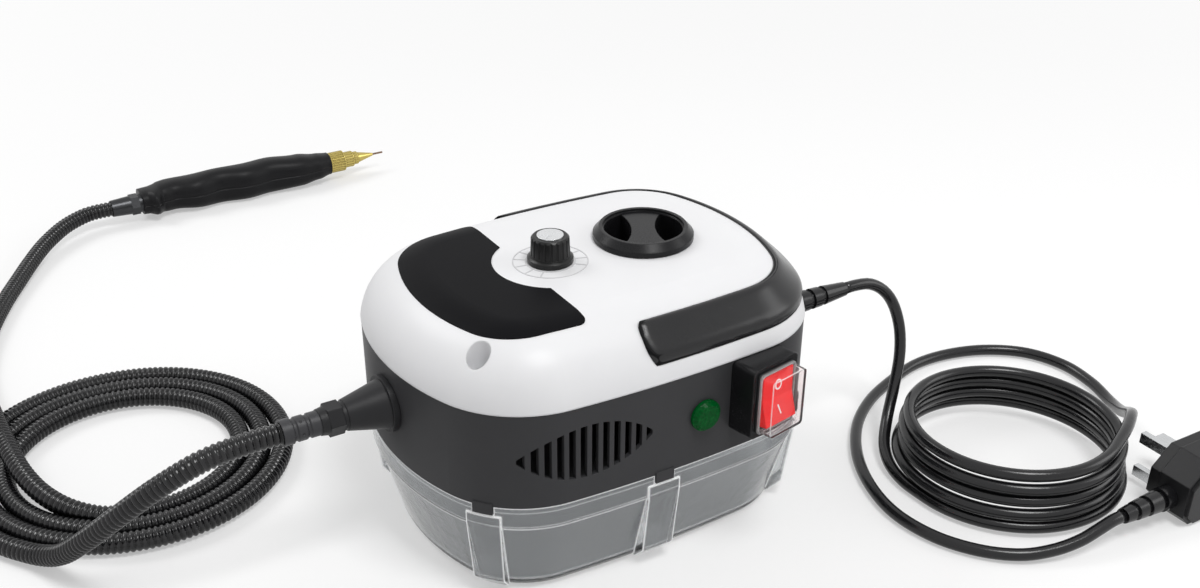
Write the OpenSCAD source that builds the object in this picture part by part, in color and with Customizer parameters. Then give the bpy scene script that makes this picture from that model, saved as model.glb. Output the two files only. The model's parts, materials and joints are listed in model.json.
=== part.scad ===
// Steam cleaner: a body with a clear water tank, a ribbed steam hose with a hand gun, and a mains lead.
// Millimetres. X runs along the body, hose end at -X and lead end at +X. The controls face -Y.
// Z is up and z = 0 is the floor, under the middle of the tank.

/* [Body] */
// Length of the body from the hose end to the lead end
body_l = 237; // [210:1:280]
// Width of the body across the controls
body_w = 182; // [160:1:210]
// Height of the deck above the floor
body_h = 147; // [135:1:165]
// Plan radius of the long side walls
side_r = 785; // [710:12.5:860]
// Height of the seam under the white cover
seam_h = 114.5; // [106:0.5:120]
// Radius of the cover's shoulder
shoulder_r = 39; // [28:1:42]
// Wall of the moulded pieces
wall = 2.5; // [2:0.1:3.2]

/* [Tank] */
// Height of the tank's rim
tank_h = 60; // [50:1:66]
// How far the tank's foot is drawn in
tank_in = 13; // [8:0.5:18]
// Radius round the tank's foot
foot_r = 7; // [4:0.5:10]
// Depth of the rim above the ledge
rim_d = 13; // [9:0.5:16]
// Width of the clip columns
column_w = 19; // [12:0.5:22]

/* [Grip] */
// Where the grip band's two ends stop
grip_x = -13; // [-40:1:10]
// Distance of the band's lower edge from the outline
grip_low = 5; // [4:0.5:8]
// Distance of the band's upper edge from the outline
grip_top = 20.5; // [16:0.5:24]

/* [Deck] */
// Distance of the dark panel from the outline
panel_in = 25.6; // [22:0.2:32]
// Straight inner edge of the dark panel
panel_x = -35.5; // [-50:0.5:-30]
// Place of the knob along the body
knob_x = -20; // [-26:0.5:-14]
// Diameter of the knob's skirt
knob_d = 24.5; // [20:0.5:30]
// Height of the knob
knob_h = 15.5; // [12:0.5:24]
// Place of the filler cap along the body
cap_x = 38; // [32:0.5:44]
// Diameter of the filler cap
cap_d = 55; // [54.6:0.2:60]

/* [Controls] */
// Middle of the vent along the body
vent_x = -49; // [-56:0.5:-42]
// Length of the vent
vent_w = 75; // [50:1:84]
// Height of the vent
vent_h = 30; // [18:1:34]
// Number of slots in the vent
vent_n = 12; // [6:1:16]
// Place of the lamp along the body
lamp_x = 19; // [10:0.5:26]
// Diameter of the lamp lens
lamp_d = 17.5; // [12:0.5:20]
// Place of the switch along the body
switch_x = 52; // [48:0.5:58]
// How far the switch surround stands out
switch_out = 13; // [9:0.5:16]
// Height of the controls above the floor
control_z = 88; // [84:0.5:92]

/* [Hose and lead] */
// Outer diameter of the hose over its ribs
hose_d = 12; // [9:0.2:12.2]
// Diameter of the mains lead
cord_d = 7; // [5:0.1:7.2]
// Height of the hose gland's axis
gland_z = 90.5; // [84:0.5:94]
// Height of the lead's exit
relief_z = 91; // [86:0.5:96]

/* [Gun] */
// Length of the two grip shells
gun_l = 159; // [140:1:180]
// Greatest thickness of the grip
gun_w = 28; // [24:0.5:28.2]
// Diameter of the knurled brass collar
collar_d = 17.2; // [16:0.2:19]

/* [Hidden] */
$fn = 64;
fit = 0.05;
gap = 0.3;
band_in = 0.8;
cover_t = 3;
hl = body_l / 2;
hw = body_w / 2;
plate_z = tank_h + 3.7;
floor_z = plate_z + 2.5;

// Tangent arcs of the outline. They meet in these directions: end with corner, corner with side
ue = [0.936, 0.352];
us = [0.07584, 0.99712];
side_s = 12.5 * round((side_r - 60) / 12.5);
end_s = 0.5 * round(2 * (hw - hl + 0.07296 * side_s) / 0.288);
rc = hl - us[0] * side_s - (1 - ue[0]) * end_s;
ccx = us[0] * side_s;
ccy = ue[1] * end_s;
q0 = ccx - ue[0] * end_s;
p0 = ccy - us[1] * side_s;
end_r = end_s + rc;
flank_r = side_s + rc;
sh_r = min(shoulder_r, rc - 15);
in_off = -(rc - 7);
deck_c = body_h - sh_r;
te = atan2(ue[1], ue[0]);
ts = atan2(us[0], us[1]);
tc = 90 - ts - te;
ARCS = [
  [q0, 0, end_r, -te, 2 * te], [ccx, ccy, rc, te, tc],
  [0, p0, flank_r, 90 - ts, 2 * ts], [-ccx, ccy, rc, 90 + ts, tc],
  [-q0, 0, end_r, 180 - te, 2 * te], [-ccx, -ccy, rc, 180 + te, tc],
  [0, -p0, flank_r, 270 - ts, 2 * ts], [ccx, -ccy, rc, 270 + ts, tc]];
MEETS = [[ue[0], -ue[1]], ue, us, [-us[0], us[1]], [-ue[0], ue[1]], -ue, -us, [us[0], -us[1]]];
function on_arc(i, a, o) =
  [ARCS[i][0] + (ARCS[i][2] + o) * cos(a), ARCS[i][1] + (ARCS[i][2] + o) * sin(a)];
CORE = [for (i = [0:7]) for (k = [0, 0.5]) on_arc(i, ARCS[i][3] + k * ARCS[i][4], in_off + 4)];

// A section given as distance out from the outline and height, swept along the outline
module arc_part(i, a, d)
  translate([ARCS[i][0], ARCS[i][1], 0])
    rotate_extrude(angle = d, start = a, $fn = 144) translate([ARCS[i][2], 0]) children();
module sector(i) {
  c = [ARCS[i][0], ARCS[i][1]];
  a = MEETS[i];
  b = MEETS[(i + 1) % 8];
  l = i % 2 == 1 ? 200 : i % 4 == 0 ? 300 : 900;
  translate([0, 0, -50]) linear_extrude(300) polygon([c, c + l * a, c + l * (a + b), c + l * b]);
}
module ring(ids = [0:7]) for (i = ids) intersection() {
  translate([ARCS[i][0], ARCS[i][1], 0])
    rotate_extrude($fn = i % 4 == 2 ? 480 : 144) translate([ARCS[i][2], 0]) children();
  sector(i);
}
module core(z0, z1) translate([0, 0, z0]) linear_extrude(z1 - z0) polygon(CORE);
module strip(o0, o1, z0, z1) translate([o0, z0]) square([o1 - o0, z1 - z0]);
module tile(o, z0, z1) { ring() strip(in_off, o, z0, z1); core(z0, z1); }

// A place on the outer wall, local -Y pointing straight out
module at_wall(i, a, z) {
  p = on_arc(i, a, -band_in);
  translate([p[0], p[1], z]) rotate([0, 0, a - 270]) children();
}
module out() rotate([90, 0, 0]) children();
module wall_solid(ids) ring(ids) strip(in_off, -band_in, tank_h, seam_h);
module slab(w, h, r) {
  square([w - 2 * r, h], center = true);
  square([w, h - 2 * r], center = true);
  for (x = [-1, 1]) for (y = [-1, 1]) translate([x * (w / 2 - r), y * (h / 2 - r)]) circle(r);
}
lamp_a = 270 + asin(lamp_x / flank_r);
switch_a = 270 + asin(switch_x / flank_r);
switch_z = control_z + 5.6;
module at_switch() {
  p = on_arc(6, switch_a, -band_in);
  translate([p[0], p[1], switch_z]) rotate([0, 0, 11]) children();
}

// Clip columns of the tank: which arc, and the angle on it
CLIPS = [[6, 269.66], [2, 90.34], [5, 220], [3, 140], [7, 320], [1, 40]];
function spread(i, w) = w / ARCS[i][2] * 180 / PI;
module at_clips(w) for (c = CLIPS) arc_part(c[0], c[1] - spread(c[0], w) / 2, spread(c[0], w)) children();

// Fastenings of the cover
sunk = [27.7 - hl, 36.5 - hw];
posts = [[39.5 - hl, hw - 47.5], [hl - 39.5, hw - 47.5], [hl - 39.5, 47.5 - hw]];
plug_r = cap_d / 2 - 4.3;
pump_y = hw - 33;
sunk_z = 126;

// Tank
function foot(o, z, r) = [for (k = [0:4]) [o - r + r * cos(22.5 * k), z + r - r * sin(22.5 * k)]];
function turned(v) = [for (k = [1:len(v)]) v[len(v) - k]];
ledge = tank_h - rim_d;
TANK = concat([[-1.2, tank_h], [-1.2, ledge], [-2.4, ledge - 1]], foot(-tank_in, 0, foot_r),
  [[in_off, 0], [in_off, wall]], turned(foot(-tank_in - wall, wall, foot_r - wall / 2)),
  [[-2.4 - wall, ledge - 1], [-1.2 - wall, ledge], [-1.2 - wall, tank_h - 4.4], [-5.6, tank_h - 2.5],
    [-5.6, tank_h]]);
module water_tank() color([0.86, 0.9, 0.92, 0.4]) difference() {
  union() {
    ring() polygon(TANK);
    core(0, wall);
    at_clips(column_w) polygon([[-0.3, tank_h - 5.6], [-0.3, ledge], [-5, 10], [-tank_in, 1.6],
      [-tank_in - 5, 1], [-tank_in - 1.5, foot_r], [-3, ledge], [-3, tank_h - 5.6]]);
  }
  at_clips(11 + 2 * gap) strip(-2.7, 2, tank_h - 4.8, tank_h + 1);
}
module tank_gasket() color([0.12, 0.12, 0.13]) ring() strip(-5.5, -3.6, tank_h, tank_h + 1.2);

// Middle housing with its vent
module vent_2d() {
  r = (vent_w * vent_w / 4 + vent_h * vent_h / 4) / vent_h;
  pitch = vent_w / vent_n;
  intersection() {
    translate([0, r - vent_h / 2]) circle(r);
    translate([0, vent_h / 2 - r]) circle(r);
    for (k = [0:vent_n - 1]) translate([(k - (vent_n - 1) / 2) * pitch - pitch * 0.29, -vent_h])
      square([pitch * 0.58, 2 * vent_h]);
  }
}
module mid_housing() color([0.2, 0.2, 0.21]) difference() {
  union() {
    ring() {
      strip(-band_in - wall, -band_in, tank_h + gap, seam_h);
      strip(-9.5, -2, tank_h + 1.2, plate_z);
    }
    at_clips(11) strip(-2.4, -0.1, tank_h - 4.5, tank_h + 2);
  }
  translate([vent_x, 0, control_z]) out() linear_extrude(body_w) vent_2d();
  at_wall(6, lamp_a, control_z) out() translate([0, 0, -8]) cylinder(d = lamp_d - 3, h = 12);
  at_switch() out() translate([0, 0, -14]) linear_extrude(24) square([28.4, 35.8], center = true);
  at_wall(4, 180, gland_z) out() translate([0, 0, -6]) cylinder(r = 8.2, h = 12);
  at_wall(0, relief_a, relief_z) out() translate([0, 0, -6]) cylinder(r = 5.8, h = 12);
}
relief_a = asin(-22 / end_r);

// Plate that closes the tank and carries the works
module chassis_plate() color([0.25, 0.25, 0.26]) difference() {
  union() {
    tile(-band_in - wall - gap, plate_z, floor_z);
    translate([sunk[0], sunk[1], floor_z - 1]) cylinder(r = 4.5, h = sunk_z - 4 - floor_z + 1);
    for (x = [75, 101]) for (y = [-11, 31]) translate([x, y, floor_z - 1]) cylinder(r = 2.5, h = 6);
  }
  translate([cap_x, 0, plate_z - 1]) cylinder(r = plug_r + 2.2, h = 5);
  translate([70, pump_y, plate_z - 1]) cylinder(r = 4.2, h = 5);
  for (p = posts) translate([p[0], p[1], plate_z - 1]) cylinder(r = 2, h = 5);
  translate([sunk[0], sunk[1], sunk_z - 18]) cylinder(r = 1.95, h = 20);
}

// Top cover
module cover_2d(t) {
  intersection() {
    translate([-sh_r, deck_c]) circle(sh_r - t);
    translate([-sh_r, max(seam_h - (t > 0 ? 1 : 0), deck_c - sh_r)]) square([sh_r + 2, 2 * sh_r]);
  }
  if (deck_c > seam_h) translate([-sh_r, seam_h - (t > 0 ? 1 : 0)])
    square([sh_r - t, deck_c + 0.01 - seam_h + (t > 0 ? 1 : 0)]);
  translate([in_off - (t > 0 ? 1 : 0), seam_h - (t > 0 ? 1 : 0)])
    square([-sh_r - in_off + (t > 0 ? 1 : 0), body_h - t - seam_h + (t > 0 ? 1 : 0)]);
}
function skin(i) = deck_c + sqrt(sh_r * sh_r - (sh_r - i) * (sh_r - i));
ga = [-grip_top, skin(grip_top) - 1.9];
gb = [-grip_low, skin(grip_low) - 1.5];
gd = (gb - ga) / norm(gb - ga);
gn = [-gd[1], gd[0]];
grip_t = 1.8;
lip = 2.2;
module grip_2d(e, lo, hi) polygon([ga - e * gd + lo * gn, gb + (e + lip) * gd + lo * gn,
  gb + (e + lip) * gd + hi * gn, ga - e * gd + hi * gn]);
// The pad stands proud of the cover, with a bevel along its lower side
module pad_2d() polygon([ga - grip_t * gn, gb + lip * gd - grip_t * gn, gb + lip * gd + 0.7 * gn,
  gb - 1.8 * gd + 4 * gn, ga + 1.4 * gd + 3.7 * gn, ga + 2.5 * gn]);
module grip_plan(e) {
  r = 7;
  w = (grip_top - grip_low + lip) / 2 + e;
  translate([grip_x + r, -body_w]) square([body_l, 2 * body_w]);
  for (s = [-1, 1]) translate([grip_x + r, s * (hw - (grip_low - lip + grip_top) / 2)]) {
    translate([-r - e, -w + r]) square([r + e + 1, 2 * (w - r)]);
    translate([0, w - r]) intersection() {
      circle(r + e);
      translate([-2 * r, r - w]) square([2.2 * r, 2 * w]);
    }
    translate([0, r - w]) intersection() {
      circle(r + e);
      translate([-2 * r, -r - w]) square([2.2 * r, 2 * w]);
    }
  }
}
module in_grip(e) intersection() {
  ring([6, 7, 0, 1, 2]) children();
  translate([0, 0, seam_h]) linear_extrude(body_h) grip_plan(e);
}
module shell_2d() {
  difference() { cover_2d(0); cover_2d(cover_t); }
  strip(-5.6, -3.6, seam_h - 2.7, seam_h + 2.5);
}
module top_cover() color([0.95, 0.95, 0.95]) difference() {
  union() {
    ring([3, 4, 5]) shell_2d();
    ring([6, 7, 0, 1, 2]) { shell_2d(); grip_2d(1.5, -4.2, -1); }
    core(body_h - cover_t, body_h);
    for (p = posts) translate([p[0], p[1], floor_z + gap])
      cylinder(r = 4.5, h = body_h - cover_t - floor_z);
    intersection() {
      translate([sunk[0], sunk[1], sunk_z - 4 + gap]) cylinder(r = 9, h = 40);
      ring([3, 4, 5, 6]) cover_2d(0);
    }
  }
  in_grip(0.15) grip_2d(0.15, -grip_t, 12);
  translate([cap_x, 0, body_h - 10]) cylinder(r = plug_r + 2.2, h = 20);
  translate([knob_x, 0, body_h - 10]) cylinder(r = 3.6, h = 20);
  translate([sunk[0], sunk[1], sunk_z]) cylinder(r = 5.9, h = 40);
  translate([sunk[0], sunk[1], sunk_z - 10]) cylinder(r = 2.1, h = 20);
  for (p = posts) translate([p[0], p[1], floor_z - 1]) cylinder(r = 1.72, h = 22);
}
module grip_band() color([0.16, 0.16, 0.17]) in_grip(0) pad_2d();
module label_panel() color([0.09, 0.09, 0.1]) intersection() {
  union() {
    ring([2, 3, 4, 5, 6]) intersection() {
      difference() { cover_2d(-0.5); cover_2d(0); }
      strip(in_off, 4 - panel_in, seam_h, body_h + 2);
    }
    core(body_h, body_h + 0.5);
  }
  translate([-3.4, 0, 0]) tile(-panel_in, body_h - 16, body_h + 8);
  translate([0, 0, body_h - 15]) linear_extrude(30) difference() {
    translate([-body_l, -body_w]) square([body_l + panel_x, 2 * body_w]);
    translate([knob_x + 1.5, 0]) circle(32.4);
    for (s = [-1, 1]) translate([panel_x - 4, s * (hw - panel_in - 5)]) difference() {
      translate([0, s < 0 ? -40 : 0]) square(40);
      circle(4);
    }
  }
}
module cover_screw() color([0.7, 0.7, 0.72]) translate([sunk[0], sunk[1], 0]) difference() {
  union() {
    translate([0, 0, sunk_z]) cylinder(r = 3.6, h = 2);
    translate([0, 0, sunk_z + 2]) cylinder(r1 = 3.6, r2 = 2.6, h = 0.8);
    translate([0, 0, sunk_z - 16]) cylinder(r = 1.9, h = 16.5);
  }
  for (a = [0, 90]) rotate([0, 0, a + 20]) translate([-2.2, -0.5, sunk_z + 1.2]) cube([4.4, 1, 4]);
}
module chassis_screws() color([0.7, 0.7, 0.72]) for (p = posts) translate([p[0], p[1], 0]) difference() {
  union() {
    translate([0, 0, plate_z - 2.4]) cylinder(r = 3.6, h = 2.4);
    translate([0, 0, plate_z - 0.5]) cylinder(r = 1.7, h = 20);
  }
  for (a = [0, 90]) rotate([0, 0, a]) translate([-2.2, -0.5, plate_z - 4]) cube([4.4, 1, 2.8]);
}

// Dial and knob
module dial_ring() color([0.7, 0.72, 0.74]) translate([knob_x, 0, body_h]) {
  difference() {
    cylinder(r = knob_d / 2 + 8, h = 0.25);
    translate([0, 0, -1]) cylinder(r = knob_d / 2 + 7.4, h = 3);
  }
  difference() { cylinder(r = knob_d / 2 + 1.2, h = 0.25); translate([0, 0, -1]) cylinder(r = 4, h = 3); }
  for (k = [0:10]) rotate([0, 0, 225 - 27 * k]) translate([knob_d / 2 + 0.8, -0.35, 0])
    cube([6.9, 0.7, 0.25]);
}
module control_knob() color([0.1, 0.1, 0.11]) translate([knob_x, 0, body_h]) difference() {
  union() {
    translate([0, 0, 0.55]) cylinder(r = knob_d / 2, h = 2.4);
    translate([0, 0, 2.95]) cylinder(r1 = knob_d / 2, r2 = knob_d / 2 - 1.2, h = 0.8);
    translate([0, 0, 3]) cylinder(r1 = knob_d / 2 - 1.6, r2 = knob_d / 2 - 2.1, h = knob_h - 4.6);
    translate([0, 0, knob_h - 1.6]) cylinder(r1 = knob_d / 2 - 2.1, r2 = knob_d / 2 - 3.1, h = 1);
  }
  for (k = [0:19]) rotate([0, 0, 18 * k + 9]) translate([knob_d / 2 - 1.4, 0, 4.6]) rotate([0, -3, 0])
    cylinder(r = 0.75, h = knob_h);
  translate([0, 0, -1]) cylinder(r = 3, h = knob_h - 5);
}
module knob_disc() color([0.8, 0.8, 0.82]) translate([knob_x, 0, body_h + knob_h - 0.6]) difference() {
  cylinder(r = knob_d / 2 - 5.2, h = 0.6);
  rotate([0, 0, 225]) translate([1.5, -0.5, 0.35]) cube([8, 1, 1]);
}
module control_shaft() color([0.75, 0.75, 0.77]) translate([knob_x, 0, body_h - 16])
  cylinder(r = 3, h = knob_h + 10);
module control_body() color([0.15, 0.15, 0.16]) translate([knob_x, 0, body_h - cover_t]) difference() {
  union() {
    translate([0, 0, -3]) cylinder(r = 6, h = 3);
    translate([0, 0, -18]) linear_extrude(15.2) slab(24, 24, 3);
    for (y = [-7, 0, 7]) translate([-17, y - 1.2, -15]) cube([6, 2.4, 0.8]);
  }
  translate([0, 0, -13.2]) cylinder(r = 3 + fit, h = 20);
}

// Filler neck, gasket and screw-in cap
module filler_neck() color([0.15, 0.15, 0.16]) translate([cap_x, 0, 0]) difference() {
  union() {
    translate([0, 0, tank_h + 1]) cylinder(r = plug_r + 2, h = body_h - tank_h - 0.5);
    translate([0, 0, body_h]) cylinder(r = plug_r + 3, h = 1);
    translate([0, 0, floor_z]) cylinder(r = plug_r + 4.8, h = 2);
  }
  translate([0, 0, tank_h - 5]) cylinder(r = plug_r + fit + 0.02, h = 120);
}
module cap_gasket() color([0.45, 0.12, 0.1]) translate([cap_x, 0, body_h + 1]) difference() {
  cylinder(r = plug_r + 2.8, h = 1);
  translate([0, 0, -1]) cylinder(r = plug_r + 0.4, h = 3);
}
module cap_bar_2d() intersection() {
  circle(plug_r - 1.8);
  difference() {
    square([50, 26], center = true);
    for (s = [-1, 1]) translate([0, s * 46.5]) circle(40);
  }
}
module filler_cap() color([0.1, 0.1, 0.11]) translate([cap_x, 0, body_h + 2]) rotate(62) difference() {
  union() {
    difference() {
      translate([0, 0, -1.5]) cylinder(r = cap_d / 2, h = 2.7);
      translate([0, 0, -3]) cylinder(r = plug_r + 3.3, h = 3);
    }
    translate([0, 0, 1.2]) cylinder(r1 = cap_d / 2, r2 = cap_d / 2 - 3.4, h = 3.7);
    translate([0, 0, -17]) cylinder(r = plug_r, h = 18);
  }
  translate([0, 0, 3.3]) cylinder(r = plug_r - 1, h = 5);
  translate([0, 0, -12]) linear_extrude(30) difference() { circle(plug_r - 1.8); cap_bar_2d(); }
}

// Lamp
module indicator_lamp() color([0.1, 0.55, 0.2]) at_wall(6, lamp_a, control_z) out() {
  translate([0, 0, 0.2]) cylinder(d = lamp_d, h = 1.6);
  translate([0, 0, 1.8]) cylinder(d1 = lamp_d - 1, d2 = lamp_d - 4, h = 2.2);
  translate([0, 0, -wall - 2.2]) cylinder(d = lamp_d - 3.4, h = wall + 2.6);
}
module lamp_body() color([0.14, 0.14, 0.15]) at_wall(6, lamp_a, control_z) out() {
  translate([0, 0, -22]) cylinder(d = lamp_d - 3.4, h = 22 - wall - 2.2);
  translate([0, 0, -wall - 5.4]) cylinder(d = lamp_d + 1, h = 3.2, $fn = 6);
  for (x = [-3, 3]) translate([x - 1.2, -0.4, -27]) cube([2.4, 0.8, 6]);
}

// Mains switch: surround, body, rocker and clear boot
module switch_bezel() color([0.08, 0.08, 0.09]) difference() {
  union() {
    difference() {
      at_switch() out() translate([0, 0, -6]) linear_extrude(switch_out + 6) slab(33, 41, 3);
      wall_solid([6, 7]);
    }
    at_switch() out() translate([0, 0, -7]) linear_extrude(5 + switch_out) square([28, 35.4], center = true);
  }
  at_switch() out() translate([0, 0, -10]) linear_extrude(33) square([24.5, 32.5], center = true);
}
module switch_body() color([0.07, 0.07, 0.08]) at_switch() out() difference() {
  union() {
    translate([0, 0, switch_out - 27]) linear_extrude(27.5) square([24.4, 32.4], center = true);
    translate([0, 0, switch_out]) linear_extrude(1.2) slab(26.4, 35, 2);
    for (x = [-5.5, 5.5]) for (y = [-9, 0, 9]) translate([x - 0.4, y - 3, switch_out - 35])
      cube([0.8, 6, 9]);
  }
  translate([0, 0, switch_out - 11]) linear_extrude(20) square([22.9, 30.9], center = true);
}
// The rocker rests with its upper half pressed in
module rocker() color([0.8, 0.08, 0.07]) at_switch() translate([0, 6 - switch_out, 0]) rotate([0, 90, 0])
  translate([0, 0, -11.1]) linear_extrude(22.2) rotate(-8) {
    polygon([[-13.9, -1.5], [-13.9, -10], [0, -8.2], [13.9, -10], [13.9, -1.5], [4, 2.5], [-4, 2.5]]);
    circle(4.2);
  }
module switch_boot() color([0.9, 0.9, 0.92, 0.35]) at_switch() out()
  translate([0, 0, switch_out + 1.2]) difference() {
    union() { linear_extrude(0.9) slab(26.4, 35, 2.2); linear_extrude(8.6) slab(25, 33.6, 2.2); }
    translate([0, 0, -1]) linear_extrude(8.6) slab(23, 31.6, 1.2);
  }

// Hose gland, union nut and sleeve
hose_x = -(hl - band_in) - 58;
module gland_step(z) at_wall(4, 180, gland_z) out() translate([0, 0, z]) children();
module hose_gland() color([0.17, 0.17, 0.18]) difference() {
  union() {
    difference() {
      union() {
        gland_step(-4) cylinder(r = 15.5, h = 7);
        gland_step(3) cylinder(r1 = 13.4, r2 = 12.4, h = 4);
        gland_step(7) cylinder(r1 = 12.4, r2 = 8.4, h = 17);
        gland_step(24) cylinder(r = 7.8, h = 2);
      }
      wall_solid([4]);
    }
    gland_step(-8) cylinder(r = 8, h = 12);
  }
  gland_step(-9) cylinder(r = 3.5, h = 40);
}
module hose_nut() color([0.13, 0.13, 0.14]) difference() {
  union() {
    gland_step(26) cylinder(r = 9, h = 8, $fn = 6);
    gland_step(34) cylinder(r1 = 7.7, r2 = 7, h = 4);
  }
  gland_step(20) cylinder(r = 3.5, h = 40);
}
module hose_sleeve() color([0.45, 0.45, 0.47]) difference() {
  gland_step(38) rotate_extrude() polygon([[3.5, 0], [6.6, 0], [6.6, 5], [5.9, 5.6], [5.9, 7], [6.6, 7.6],
    [6.6, 12], [5.9, 12.6], [5.9, 14], [6.9, 14.6], [6.9, 20], [3.5, 20]]);
  for (a = [0:60:300]) gland_step(48) rotate([0, 0, a]) translate([6.9, 0, 0]) sphere(r = 0.8);
}

// Routes of the hose and the lead
HOSE_LEAD = [[hose_x, 0, gland_z], [hose_x - 18, 0, gland_z], [-216, 3, 85.8], [-237, 11, 73],
  [-256, 24, 54.5], [-271, 41, 34.5], [-281.5, 59.5, 17.3], [-290.5, 77.5, 8.2]];
hose_c = [-222, 150];
hose_turns = 2.875;
hose_pitch = hose_d + 0.7;
HOSE_TAIL = [[-252, 96, 7.6], [-267, 108, 10.6], [-277, 124.5, 14], [-282.4, 144, 17], [-284.4, 165, 19],
  [-284.6, 186, 19.8], [-284.6, 207, 19.6], [-284.4, 230, 18.4], [-283, 255, 14], [-281, 280, 9],
  [-276, 307, 6.6], [-267, 337, 6.4], [-256, 364, 6.4], [-243, 391, 6.4], [-229, 416, 6.8], [-214.5, 440, 8],
  [-199, 461.5, 10], [-180.5, 479.5, 12.4], [-164, 489.3, 13.6]];
gun_o = [-116, 492, 14];
gun_rear = 24;
CORD_LEAD = [[hl + 48, -22, relief_z], [hl + 57, -22, relief_z], [186, -22.4, 89.4], [194.6, -24, 84.6],
  [200.6, -26.6, 77.4], [203.6, -30.4, 68], [203.4, -35.6, 56.6], [199.4, -41.6, 43.4], [191, -48.6, 28.6],
  [180, -57.4, 15.4], [168.4, -69.4, 7.6], [160, -84.4, 4.6]];
cord_c = [220, -118];
cord_turns = 4.33;
cord_pitch = cord_d + 0.6;
CORD_TAIL = [[266, -160, 36.8], [283, -149, 34], [299, -137, 24], [313, -121, 12], [326, -102, 4.8],
  [335, -79, 3.6], [337, -54, 3.6], [328, -30, 3.6], [308, -13, 3.6], [282, -4, 3.6], [254, -3, 3.6],
  [225, -11, 3.6], [197, -23, 3.6], [172, -41, 3.6], [151, -66, 3.6], [137, -94, 3.6], [131, -122, 3.6],
  [135, -149, 3.6], [147, -171, 3.8], [163, -186, 4.4], [180, -193.6, 6], [195, -197.2, 8.8],
  [207, -198, 11.8]];
plug_o = [262, -198, 14];
relief_l = 36;

function unit(v) = v / norm(v);
function cr(a, b, c, d, t) = 0.5 * (2 * b + (c - a) * t + (2 * a - 5 * b + 4 * c - d) * t * t
  + (3 * b - a - 3 * c + d) * t * t * t);
function at_pts(P, t) = let(n = len(P) - 1, i = min(floor(t * n), n - 1), f = t * n - i)
  cr(P[max(i - 1, 0)], P[i], P[i + 1], P[min(i + 2, n)], f);
function hose_coil_at(t) = let(r = 97.4 - hose_pitch * hose_turns * t, a = 215 - 360 * hose_turns * t)
  [hose_c[0] + r * cos(a), hose_c[1] + r * sin(a), hose_d / 2 + 0.3];
function cord_coil_at(t) = let(k = cord_turns * t, r = 64 - 1.2 * k + 0.8 * sin(140 * k), a = 180 + 360 * k)
  [cord_c[0] + r * cos(a), cord_c[1] + r * sin(a), cord_d / 2 + 0.3 + cord_pitch * k];
HOSE_IN = concat(HOSE_LEAD, [hose_coil_at(0)]);
HOSE_OUT = concat([hose_coil_at(1)], HOSE_TAIL,
  [gun_o - [gun_rear + 13, 0, 0], gun_o - [gun_rear, 0, 0]]);
CORD_IN = concat(CORD_LEAD, [cord_coil_at(0) + [0, 17, 0], cord_coil_at(0)]);
CORD_OUT = concat([cord_coil_at(1)], CORD_TAIL,
  [plug_o - [relief_l + 8, 0, 0], plug_o - [relief_l, 0, 0]]);
function where(k, t) = k == 0 ? at_pts(HOSE_IN, t) : k == 1 ? hose_coil_at(t)
  : k == 2 ? at_pts(HOSE_OUT, t)
  : k == 3 ? at_pts(CORD_IN, t) : k == 4 ? cord_coil_at(t) : at_pts(CORD_OUT, t);
function run(k, n) = [for (i = [0:n]) where(k, i / n)];
function face(k, t) = let(e = 0.0005, lo = max(t - e, 0), hi = min(t + e, 1))
  k != 1 && k != 2 && k != 4 && k != 5 && t > 1 - e ? (k == 0 ? unit(hose_coil_at(e) - hose_coil_at(0))
    : unit(cord_coil_at(e) - cord_coil_at(0)))
  : (k == 2 || k == 5) && t < e ? (k == 2 ? unit(hose_coil_at(1) - hose_coil_at(1 - e))
    : unit(cord_coil_at(1) - cord_coil_at(1 - e)))
  : unit(where(k, hi) - where(k, lo));
function faces_along(k, n) = [for (i = [0:n]) face(k, i / n)];
function carry(T) = [for (i = 0, u = unit(cross(T[0], [0.02, 0.03, 1])); i < len(T);
  i = i + 1, u = i < len(T) ? unit(u - (u * T[i]) * T[i]) : u) u];
function hoops(k, n, R, m) = let(L = run(k, n), T = faces_along(k, n), U = carry(T))
  [for (i = [0:n]) for (j = [0:m - 1]) let(a = 360 * j / m)
    L[i] + R[i % len(R)] * (cos(a) * U[i] + sin(a) * cross(T[i], U[i]))];
function skins(n, m, o, flip) = [for (i = [0:n - 1]) for (j = [0:m - 1]) for (h = [0, 1])
  let(a = o + i * m + j, b = o + i * m + (j + 1) % m, c = b + m, d = a + m,
    f = h == 0 ? [a, d, b] : [b, d, c]) flip ? [f[2], f[1], f[0]] : f];
module cord_run(k, n, d, m) polyhedron(hoops(k, n, [d / 2], m), concat(skins(n, m, 0, false),
  [[for (j = [0:m - 1]) j]], [[for (j = [m - 1:-1:0]) n * m + j]]), convexity = 8);
module hose_run(k, ribs, nb) {
  m = 8;
  n = 2 * ribs;
  b = (n + 1) * m;
  polyhedron(concat(hoops(k, n, [hose_d / 2, hose_d / 2 - 1.1], m), hoops(k, nb, [3.4], m)),
    concat(skins(n, m, 0, false), skins(nb, m, b, true),
      [for (j = [0:m - 1]) for (h = [0, 1]) let(e = (j + 1) % m)
        h == 0 ? [j, e, b + j] : [e, b + e, b + j]],
      [for (j = [0:m - 1]) for (h = [0, 1]) let(e = (j + 1) % m, p = n * m, q = b + nb * m)
        h == 0 ? [p + e, p + j, q + j] : [p + e, q + j, q + e]]), convexity = 8);
}
module hose_lead() color([0.1, 0.1, 0.11]) hose_run(0, 13, 10);
module hose_coil() color([0.1, 0.1, 0.11]) hose_run(1, 92, 52);
module hose_tail() color([0.1, 0.1, 0.11]) hose_run(2, 38, 26);
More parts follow.
